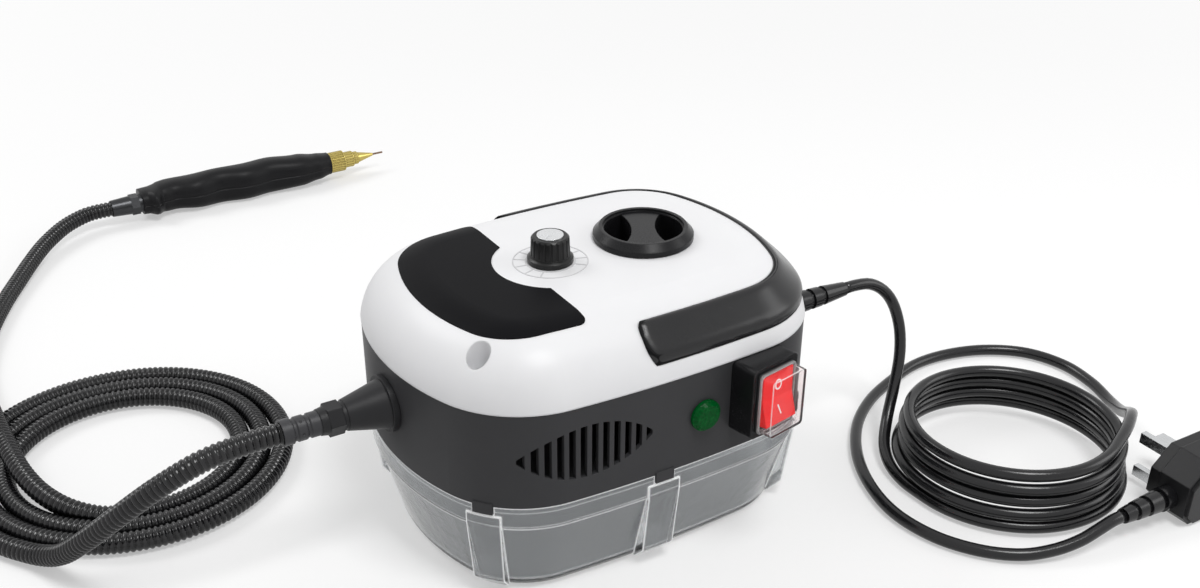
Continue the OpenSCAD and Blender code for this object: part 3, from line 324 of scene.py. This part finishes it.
def hoseBlack(w):  # ribbed jacket: painted shade in the grooves, where occlusion is deep, gives a near-black base and a weak reflection; the crests keep the glossy jacket
    cloud = w.noise(45, 4)
    grain = w.noise(2400, 2)
    openToLight = w.node("AmbientOcclusion", {"samples": 8}, {"Distance": jacket["grooveReach"]}, "AO")
    crest = w.clamped("MULTIPLY", openToLight - jacket["crestFrom"], jacket["crestGain"])
    # painted shade: the occluded grooves get a near-black, nearly unreflective finish
    grooveShade = w.node("BsdfPrincipled", None, {
        "Base Color": w.tint(cloud, jacket["grooveShadeLow"], jacket["grooveShadeHigh"]),
        "Roughness": cloud * 0.1 + 0.6, "Specular IOR Level": jacket["grooveShadeShine"]})
    rib = w.node("BsdfPrincipled", None, {
        "Base Color": w.tint(cloud, jacket["low"], jacket["high"]), "Roughness": cloud * 0.08 + 0.12,
        "Specular IOR Level": jacket["hoseShine"],
        "Normal": w.node("Bump", None, {"Height": grain, "Strength": 0.2, "Distance": 0.0002})})
    return w.node("MixShader", None, {0: crest, 1: grooveShade, 2: rib})


def leadBlack(w):  # smooth jacket with a faint lengthways ripple
    cloud = w.noise(30, 4)
    ripple = w.noise(260, 3)
    return w.node("BsdfPrincipled", None, {
        "Base Color": w.tint(cloud, jacket["low"], jacket["high"]), "Roughness": cloud * 0.1 + 0.16,
        "Specular IOR Level": jacket["leadShine"],
        "Normal": w.node("Bump", None, {"Height": ripple, "Strength": 0.16, "Distance": 0.0003})})


for fill in (lampLens, rockerRed, hoseBlack, leadBlack):
    finish(fill.__name__, fill)
print("finishes made:", len(finishes))

nodeFinish = {
    "water_tank": "clearTank", "tank_gasket": "sealBlack", "mid_housing": "bandGrey",
    "chassis_plate": "chassisBlack", "top_cover": "whiteGloss", "grip_band": "gapShadeBlack",
    "label_panel": "panelFilm", "cover_screw": "steelBright", "chassis_screws": "steelBright",
    "dial_ring": "dialPrint", "control_knob": "knobBlack", "knob_disc": "spunDisc",
    "control_shaft": "steelBright", "control_body": "chassisBlack", "filler_neck": "chassisBlack",
    "cap_gasket": "sealRed", "filler_cap": "capBlack", "indicator_lamp": "lampLens",
    "lamp_body": "chassisBlack", "switch_bezel": "capBlack", "switch_body": "chassisBlack",
    "rocker": "rockerRed", "switch_boot": "clearBoot", "hose_gland": "glandBlack", "hose_nut": "glandBlack",
    "hose_sleeve": "sleeveGrey", "cord_relief": "leadBlack", "plug_body": "plugBlack",
    "plug_relief": "leadBlack", "plug_pins": "steelBright",
    "boiler": "castAlloy", "thermal_cutout": "steelBright", "steam_pipe": "copperTube", "pump": "pumpSteel",
    "pump_mount": "sealBlack", "pump_pipe": "siliconeTube", "suction_pipe": "siliconeTube",
    "control_board": "boardGreen", "gun_connector": "connectorGrey", "gun_steam_tube": "copperTube",
    "thumb_button": "bandGrey", "gun_switch": "chassisBlack", "nozzle_collar": "brassBright",
    "nozzle_adapter": "brassBright", "nozzle_cone": "brassBright", "nozzle_needle": "needleBronze",
    "hose_lead": "hoseBlack", "hose_coil": "hoseBlack", "hose_tail": "hoseBlack", "mains_lead": "leadBlack",
    "mains_coil": "leadBlack", "mains_tail": "leadBlack", "gun_shell_right": "gunBlack",
    "gun_shell_left": "gunBlack",
}
for name, look in nodeFinish.items():
    slots = nodes[name].data.materials
    if not slots:
        slots.append(finishes[look])
    for k in range(len(slots)):
        slots[k] = finishes[look]


def addPiece(name, verts, faces, look, smooth=True):
    mesh = bpy.data.meshes.new(name)
    mesh.from_pydata([tuple(v) for v in verts], [], faces)
    work = bmesh.new()
    work.from_mesh(mesh)
    bmesh.ops.recalc_face_normals(work, faces=work.faces)
    work.to_mesh(mesh)
    work.free()
    for poly in mesh.polygons:
        poly.use_smooth = smooth
    mesh.materials.append(finishes[look])
    piece = bpy.data.objects.new(name, mesh)
    bpy.context.scene.collection.objects.link(piece)
    return piece


def along(points, t):  # a smooth curve through the points, t from 0 to 1
    last = len(points) - 1
    i = min(int(t * last), last - 1)
    f = t * last - i
    a, b, c, d = (points[max(i - 1, 0)], points[i], points[i + 1], points[min(i + 2, last)])
    return 0.5 * (2 * b + (c - a) * f + (2 * a - 5 * b + 4 * c - d) * f ** 2
                  + (3 * b - a - 3 * c + d) * f ** 3)


def evenly(points, step):  # the same line with points a fixed step apart
    out = [points[0]]
    carried = 0.0
    for a, b in zip(points, points[1:]):
        span = (b - a).length
        at = step - carried
        while at <= span:
            out.append(a.lerp(b, at / span))
            at += step
        carried = span - (at - step)
    if (out[-1] - points[-1]).length > step * 0.3:
        out.append(points[-1])
    return out


def sweep(name, line, radiusAt, sides, look):
    rings = []
    side = None
    gone = 0.0
    for i, p in enumerate(line):
        ahead = (line[min(i + 1, len(line) - 1)] - line[max(i - 1, 0)]).normalized()
        side = ahead.cross(Vector((0.02, 0.03, 1))) if side is None else side - ahead * side.dot(ahead)
        side.normalize()
        other = ahead.cross(side)
        if i:
            gone += (p - line[i - 1]).length
        r = radiusAt(gone)
        rings.append([p + (side * math.cos(a) + other * math.sin(a)) * r
                      for a in (2 * math.pi * k / sides for k in range(sides))])
    verts = [v for ring in rings for v in ring]
    faces = [(i * sides + k, i * sides + (k + 1) % sides,
              (i + 1) * sides + (k + 1) % sides, (i + 1) * sides + k)
             for i in range(len(rings) - 1) for k in range(sides)]
    faces.append(tuple(range(sides)))
    faces.append(tuple(len(verts) - sides + k for k in range(sides)))
    return addPiece(name, verts, faces, look)


# hose and lead, in millimetres: the same routes as the source has
sleeveLow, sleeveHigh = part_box("hose_sleeve")
glandZ = (sleeveLow[2] + sleeveHigh[2]) / 2 / mm
offFloor = 0.3
routeSteps = dict(into=300, coil=1200, out=600)
hose = dict(diameter=12.0, start=(sleeveLow[0] / mm, 0, glandZ), centre=(-222, 150), outer=97.4, begin=215,
            turns=2.875, gap=0.7, ribPitch=3.3, ribDepth=0.95, ribPower=1.6, ringsPerRib=6, sides=14)
hoseLead = [hose["start"], (hose["start"][0] - 18, 0, glandZ), (-216, 3, 85.8), (-237, 11, 73),
            (-256, 24, 54.5), (-271, 41, 34.5), (-281.5, 59.5, 17.3), (-290.5, 77.5, 8.2)]
hoseTail = [(-252, 96, 7.6), (-267, 108, 10.6), (-277, 124.5, 14), (-282.4, 144, 17), (-284.4, 165, 19),
            (-284.6, 186, 19.8), (-284.6, 207, 19.6), (-284.4, 230, 18.4), (-283, 255, 14), (-281, 280, 9),
            (-276, 307, 6.6), (-267, 337, 6.4), (-256, 364, 6.4), (-243, 391, 6.4), (-229, 416, 6.8),
            (-214.5, 440, 8), (-199, 461.5, 10), (-180.5, 479.5, 12.4), (-164, 489.3, 13.6)]
gunAt = Vector((-116, 492, 14))
gunRear = 24
lead = dict(diameter=7.0, start=(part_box("cord_relief")[1][0] / mm, -22, 91), centre=(220, -118), outer=64,
            begin=180, turns=4.33, gap=0.6, draw=1.2, wander=0.8, wanderTurn=140, ringStep=3.5, sides=14)
mainsLead = [lead["start"], (lead["start"][0] + 9, -22, 91), (186, -22.4, 89.4), (194.6, -24, 84.6),
             (200.6, -26.6, 77.4), (203.6, -30.4, 68), (203.4, -35.6, 56.6), (199.4, -41.6, 43.4),
             (191, -48.6, 28.6), (180, -57.4, 15.4), (168.4, -69.4, 7.6), (160, -84.4, 4.6)]
mainsTail = [(266, -160, 36.8), (283, -149, 34), (299, -137, 24), (313, -121, 12), (326, -102, 4.8),
             (335, -79, 3.6), (337, -54, 3.6), (328, -30, 3.6), (308, -13, 3.6), (282, -4, 3.6),
             (254, -3, 3.6), (225, -11, 3.6), (197, -23, 3.6), (172, -41, 3.6), (151, -66, 3.6),
             (137, -94, 3.6), (131, -122, 3.6), (135, -149, 3.6), (147, -171, 3.8), (163, -186, 4.4),
             (180, -193.6, 6), (195, -197.2, 8.8), (207, -198, 11.8)]
plugAt = Vector((262, -198, 14))
plugRelief = 36


def hoseCoil(t):
    k = hose["turns"] * t
    r = hose["outer"] - (hose["diameter"] + hose["gap"]) * k
    a = math.radians(hose["begin"] - 360 * k)
    return Vector((hose["centre"][0] + r * math.cos(a), hose["centre"][1] + r * math.sin(a),
                   hose["diameter"] / 2 + offFloor))


def mainsCoil(t):
    k = lead["turns"] * t
    r = lead["outer"] - lead["draw"] * k + lead["wander"] * math.sin(math.radians(lead["wanderTurn"] * k))
    a = math.radians(lead["begin"] + 360 * k)
    return Vector((lead["centre"][0] + r * math.cos(a), lead["centre"][1] + r * math.sin(a),
                   lead["diameter"] / 2 + offFloor + (lead["diameter"] + lead["gap"]) * k))


def route(intoCoil, coil, outOfCoil):
    first = [Vector(p) for p in intoCoil]
    last = [Vector(p) for p in outOfCoil]
    into, wound, out = routeSteps["into"], routeSteps["coil"], routeSteps["out"]
    line = [along(first, i / into) for i in range(into)]
    line += [coil(i / wound) for i in range(wound)]
    line += [along(last, i / out) for i in range(out + 1)]
    return [p * mm for p in line]


hoseLine = evenly(route([*hoseLead, hoseCoil(0)], hoseCoil,
                        [hoseCoil(1), *hoseTail, gunAt - Vector((gunRear + 13, 0, 0)),
                         gunAt - Vector((gunRear, 0, 0))]), hose["ribPitch"] * mm / hose["ringsPerRib"])
mainsLine = evenly(route([*mainsLead, mainsCoil(0) + Vector((0, 17, 0)), mainsCoil(0)], mainsCoil,
                         [mainsCoil(1), *mainsTail, plugAt - Vector((plugRelief + 8, 0, 0)),
                          plugAt - Vector((plugRelief, 0, 0))]), lead["ringStep"] * mm)


def ribbed(gone):  # rounded crests with narrow grooves between them
    wave = 0.5 + 0.5 * math.cos(2 * math.pi * gone / (hose["ribPitch"] * mm))
    return (hose["diameter"] / 2 - hose["ribDepth"] * (1 - wave) ** hose["ribPower"]) * mm


def lineLength(line):
    return sum((b - a).length for a, b in zip(line, line[1:]))


steamHose = sweep("steam_hose", hoseLine, ribbed, hose["sides"], "hoseBlack")
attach(steamHose, "housing")
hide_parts("hose_lead", "hose_coil", "hose_tail")
lineLength(hoseLine)
mainsCord = sweep("mains_cord", mainsLine, lambda gone: lead["diameter"] / 2 * mm, lead["sides"],
                  "leadBlack")
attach(mainsCord, "housing")
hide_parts("mains_lead", "mains_coil", "mains_tail")
lineLength(mainsLine)
print("hose %.3f m, lead %.3f m" % (lineLength(hoseLine), lineLength(mainsLine)))

# hand gun: two half shells with fins over the back and finger waves below
gun = dict(length=159.0, halfWidth=14.0, squareness=0.8, partingGap=0.12, around=30, step=0.5,
           finDepth=3.2, finFrom=0.45, grooveHalf=1.75, grooveRamp=0.5,
           top=[(0, 14.4), (23, 17.4), (60, 13.2), (86, 13.2), (106, 14.8), (130, 12.4), (159, 9)],
           low=[(0, -9.4), (4, -9.8), (9.5, -15), (17, -8.6), (26, -7.2), (44, -11.8), (63, -8.2),
                (86, -13.2), (106, -10.2), (131, -13.2), (146, -12), (159, -8.6)],
           side=[(0, 0.68), (24, 0.86), (62, 1), (106, 1), (132, 0.9), (148, 0.74), (159, 0.63)],
           fins=[13 + 6 * k for k in range(13)] + [108 + 5.6 * k for k in range(6)])


def eased(s, table):
    for (a, va), (b, vb) in zip(table, table[1:]):
        if s <= b:
            f = (s - a) / (b - a)
            return va + (vb - va) * (1 - math.cos(math.pi * f)) / 2
    return table[-1][1]


def bulge(v):
    return math.copysign(abs(v) ** gun["squareness"], v)


def finCut(s):  # 1 in a groove, 0 on a fin
    near = min(abs(s - f) for f in gun["fins"])
    return min(max((gun["grooveHalf"] - near) / gun["grooveRamp"], 0), 1)


def gunPoint(s, a, sign):
    t, b = eased(s, gun["top"]), eased(s, gun["low"])
    w = gun["halfWidth"] * eased(s, gun["side"])
    up = (t + b) / 2 + (t - b) / 2 * bulge(math.sin(a))
    up -= finCut(s) * gun["finDepth"] * max(0, (math.sin(a) - gun["finFrom"]) / (1 - gun["finFrom"]))
    out = max(w * bulge(max(math.cos(a), 0)), gun["partingGap"] / 2) * sign
    return (gunAt + Vector((s, up, -out))) * mm


def gunShell(name, sign, node):
    count = int(gun["length"] / gun["step"])
    around = gun["around"]
    verts = []
    for i in range(count + 1):
        s = gun["length"] * i / count
        verts += [gunPoint(s, -math.pi / 2 + math.pi * k / around, sign) for k in range(around + 1)]
    wide = around + 1
    faces = [(i * wide + k, i * wide + k + 1, (i + 1) * wide + k + 1, (i + 1) * wide + k)
             for i in range(count) for k in range(around)]
    faces += [((i + 1) * wide, (i + 1) * wide + around, i * wide + around, i * wide) for i in range(count)]
    faces += [tuple(range(wide)), tuple(count * wide + k for k in range(wide))]
    shell = addPiece(name, verts, faces, "gunBlack")
    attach(shell, "housing")
    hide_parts(node)


gunShell("gun_half_right", -1, "gun_shell_right")
gunShell("gun_half_left", 1, "gun_shell_left")
print("gun shells made")

# grip: a soft pad with rolled edges, a hair proud of the grip band, which is left under it in a near-black
# dull finish as painted shade in the gap round the pad
gripRoll = dict(cell=1.0, rounds=44, pull=0.5, proud=0.6)


def gripPad():
    pad = bpy.data.objects.new("grip_pad", nodes["grip_band"].data.copy())
    bpy.context.scene.collection.objects.link(pad)
    cells = pad.modifiers.new("cells", "REMESH")
    cells.mode, cells.voxel_size = "VOXEL", gripRoll["cell"] * mm
    roll = pad.modifiers.new("roll", "SMOOTH")
    roll.iterations, roll.factor = gripRoll["rounds"], gripRoll["pull"]
    lift = pad.modifiers.new("lift", "DISPLACE")
    lift.strength, lift.mid_level = gripRoll["proud"] * mm, 0
    shape = bpy.data.meshes.new_from_object(pad.evaluated_get(bpy.context.evaluated_depsgraph_get()))
    pad.modifiers.clear()
    pad.data = shape
    shape.materials.clear()
    shape.materials.append(finishes["gripDark"])
    for poly in shape.polygons:
        poly.use_smooth = True
        poly.material_index = 0
    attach(pad, "housing")
    return len(shape.polygons)


print("grip pad made:", gripPad(), "faces")

# marks on the rocker: a ring above, a slanting bar below
rockerMark = dict(turn=11.0, tilt=8.0, ring=(2.0, 2.9), narrow=0.85, sides=40, bar=(0.9, 5.4), lean=0.7,
                  rise=7.0, proud=0.12, sunk=-0.3, faceDepth=8.2, faceSlope=1.8, faceHalf=13.9)
rockerAxis = Vector(next(j for j in frame["joints"] if j["name"] == "rocker_tilt")["pos_m"])


def onRocker(x, z, proud):  # a point on the rocker's two sloping faces, upper half pressed in
    deep = rockerMark["faceDepth"] + rockerMark["faceSlope"] * abs(z) / rockerMark["faceHalf"] + proud
    tilt, turn = math.radians(rockerMark["tilt"]), math.radians(rockerMark["turn"])
    out = deep * math.cos(tilt) - z * math.sin(tilt)
    up = z * math.cos(tilt) + deep * math.sin(tilt)
    return rockerAxis + Vector((x * math.cos(turn) + out * math.sin(turn),
                                x * math.sin(turn) - out * math.cos(turn), up)) * mm


def rockerRing():
    inner, outer = rockerMark["ring"]
    proud, sunk = rockerMark["proud"], rockerMark["sunk"]
    verts, faces = [], []
    count = rockerMark["sides"]
    for k in range(count):
        a = 2 * math.pi * k / count
        for r, level in ((inner, sunk), (inner, proud), (outer, proud), (outer, sunk)):
            verts.append(onRocker(r * math.cos(a) * rockerMark["narrow"],
                                  rockerMark["rise"] + r * math.sin(a), level))
    for k in range(count):
        for j in range(4):
            n = (k + 1) % count
            faces.append((k * 4 + j, k * 4 + (j + 1) % 4, n * 4 + (j + 1) % 4, n * 4 + j))
    return addPiece("rocker_ring_mark", verts, faces, "markWhite", False)


def rockerBar():
    w, h = rockerMark["bar"]
    lean = rockerMark["lean"]
    corners = ((lean - w / 2, -h / 2), (lean + w / 2, -h / 2), (w / 2 - lean, h / 2), (-w / 2 - lean, h / 2))
    verts = [onRocker(x, z - rockerMark["rise"], level)
             for level in (rockerMark["sunk"], rockerMark["proud"]) for x, z in corners]
    faces = [(0, 1, 2, 3), (4, 5, 6, 7), (0, 1, 5, 4), (1, 2, 6, 5), (2, 3, 7, 6), (3, 0, 4, 7)]
    return addPiece("rocker_bar_mark", verts, faces, "markWhite", False)


for mark in (rockerRing(), rockerBar()):
    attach(mark, "switch_rocker")
print("marks made")

# stage, light and camera
stage = dict(world=0.40, reach=6.0, level=-0.0006, sheet=0.4, shadow=(0.7, 1.6), aim=(0, 0, 0.06))


def seenDirect(w):  # 1 for what the camera, a mirror or a clear piece looks at
    ray = w.node("LightPath")
    seen = [Wire(w.tree, ray.link.node.outputs[k])
            for k in ("Is Camera Ray", "Is Glossy Ray", "Is Transmission Ray")]
    return w.node("Math", {"operation": "MINIMUM"}, {0: seen[0] + seen[1] + seen[2], 1: 1.0})


def floorPale(w):  # white where it is seen, pale where it lights the object
    cloud = w.noise(6, 3)
    pale = w.node("BsdfPrincipled", None, {
        "Base Color": w.tint(cloud, (0.60, 0.60, 0.605), (0.63, 0.63, 0.635)),
        "Roughness": cloud * 0.1 + 0.5})
    white = w.node("BsdfDiffuse", None, {"Color": (1, 1, 1, 1)})
    sheet = w.node("Emission", None, {"Color": (1, 1, 1, 1), "Strength": 1.0})
    off = w.node("VectorMath", {"operation": "LENGTH"}, {0: w.place()}, "Value")
    near, far = stage["shadow"]
    clear = w.clamped("DIVIDE", off - near, far - near)
    seen = w.node("MixShader", None, {0: clear * (1 - stage["sheet"]) + stage["sheet"], 1: white, 2: sheet})
    return w.node("MixShader", None, {0: seenDirect(w), 1: pale, 2: seen})


finish("floorPale", floorPale)
reach = stage["reach"]
floor = addPiece("floor", [(x, y, stage["level"]) for x, y in (
    (-reach, -reach), (reach, -reach), (reach, reach), (-reach, reach))], [(0, 1, 2, 3)], "floorPale")
world = bpy.data.worlds.new("studio")
bpy.context.scene.world = world
world.use_nodes = True
sky = Wire(world.node_tree)
world.node_tree.nodes.clear()
glow = sky.node("Background", None, {
    "Color": (1, 1, 1, 1), "Strength": seenDirect(sky) * (1 - stage["world"]) + stage["world"]})
skyOut = world.node_tree.nodes.new("ShaderNodeOutputWorld")
world.node_tree.links.new(glow.link, skyOut.inputs["Surface"])

lamps = {
    "key": dict(at=(0.15, -0.9, 2.2), size=0.8, power=27),
    "fill": dict(at=(1.7, -0.9, 1.0), size=1.0, power=7),
    "back": dict(at=(-0.9, 1.5, 1.7), size=0.9, power=14),
}
for name, p in lamps.items():
    light = bpy.data.lights.new(name, "AREA")
    light.energy, light.size = p["power"], p["size"]
    lamp = bpy.data.objects.new(name, light)
    lamp.location = p["at"]
    lamp.rotation_euler = (Vector(stage["aim"]) - Vector(p["at"])).to_track_quat("-Z", "Y").to_euler()
    bpy.context.scene.collection.objects.link(lamp)

view = dict(target=(0, 0.0032, 0.070), turn=30.72, rise=30.8, away=0.8069, lens=43.12,
            shift=(0.0167, 0.0668))
turn, rise = math.radians(view["turn"]), math.radians(view["rise"])
ahead = Vector((math.sin(turn) * math.cos(rise), math.cos(turn) * math.cos(rise), -math.sin(rise)))
cameraData = bpy.data.cameras.new("camera")
cameraData.sensor_width, cameraData.sensor_fit = 36, "HORIZONTAL"
cameraData.lens = view["lens"]
cameraData.shift_x, cameraData.shift_y = view["shift"]
cameraData.clip_start = 0.01
camera = bpy.data.objects.new("camera", cameraData)
camera.location = Vector(view["target"]) - ahead * view["away"]
camera.rotation_euler = ahead.to_track_quat("-Z", "Y").to_euler()
bpy.context.scene.collection.objects.link(camera)
bpy.context.scene.camera = camera
bpy.context.scene.view_settings.view_transform = "Standard"

print("scene ready")
